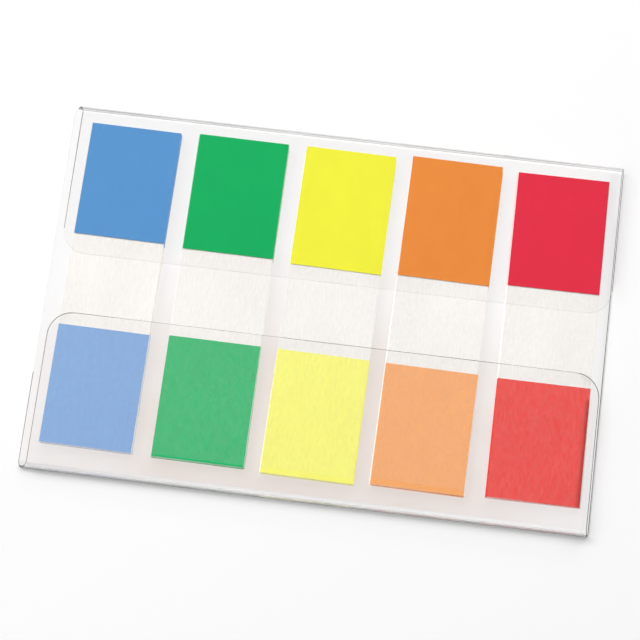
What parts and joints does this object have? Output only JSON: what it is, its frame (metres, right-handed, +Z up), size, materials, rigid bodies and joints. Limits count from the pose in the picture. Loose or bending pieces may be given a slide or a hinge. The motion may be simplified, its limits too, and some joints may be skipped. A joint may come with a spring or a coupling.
{
  "type": "sticky index tabs",
  "caption": "Pads of clear film index flags with coloured ends, side by side in a thin clear plastic holder folded from one sheet, with an open window between its two flaps.",
  "frame": {"origin": "middle of the underside of the back panel, on the table", "axes": "+X along the row of pads, from the blue pad to the red one, +Y from the lower flap to the upper flap, +Z up out of the flaps"},
  "size_m": [0.0732, 0.049, 0.002],
  "materials": {
    "clear_sheet": "clear gloss plastic sheet",
    "stacked_film": "matt clear film, stacked until it looks off-white",
    "flag_film": "clear matt film",
    "blue_ink": "satin blue ink on film",
    "green_ink": "satin green ink on film",
    "yellow_ink": "satin yellow ink on film",
    "orange_ink": "satin orange ink on film",
    "red_ink": "satin red ink on film"
  },
  "bodies": {
    "root": {"holder": "clear_sheet", "blue_pad": "stacked_film", "green_pad": "stacked_film", "yellow_pad": "stacked_film", "orange_pad": "stacked_film", "red_pad": "stacked_film", "blue_first_flag": "flag_film", "green_first_flag": "flag_film", "yellow_first_flag": "flag_film", "orange_first_flag": "flag_film", "red_first_flag": "flag_film", "blue_second_flag": "flag_film", "green_second_flag": "flag_film", "yellow_second_flag": "flag_film", "orange_second_flag": "flag_film", "red_second_flag": "flag_film", "blue_first_flag_ink": "blue_ink", "blue_second_flag_ink": "blue_ink", "green_first_flag_ink": "green_ink", "green_second_flag_ink": "green_ink", "yellow_first_flag_ink": "yellow_ink", "yellow_second_flag_ink": "yellow_ink", "orange_first_flag_ink": "orange_ink", "orange_second_flag_ink": "orange_ink", "red_first_flag_ink": "red_ink", "red_second_flag_ink": "red_ink"}
  },
  "joints": []
}
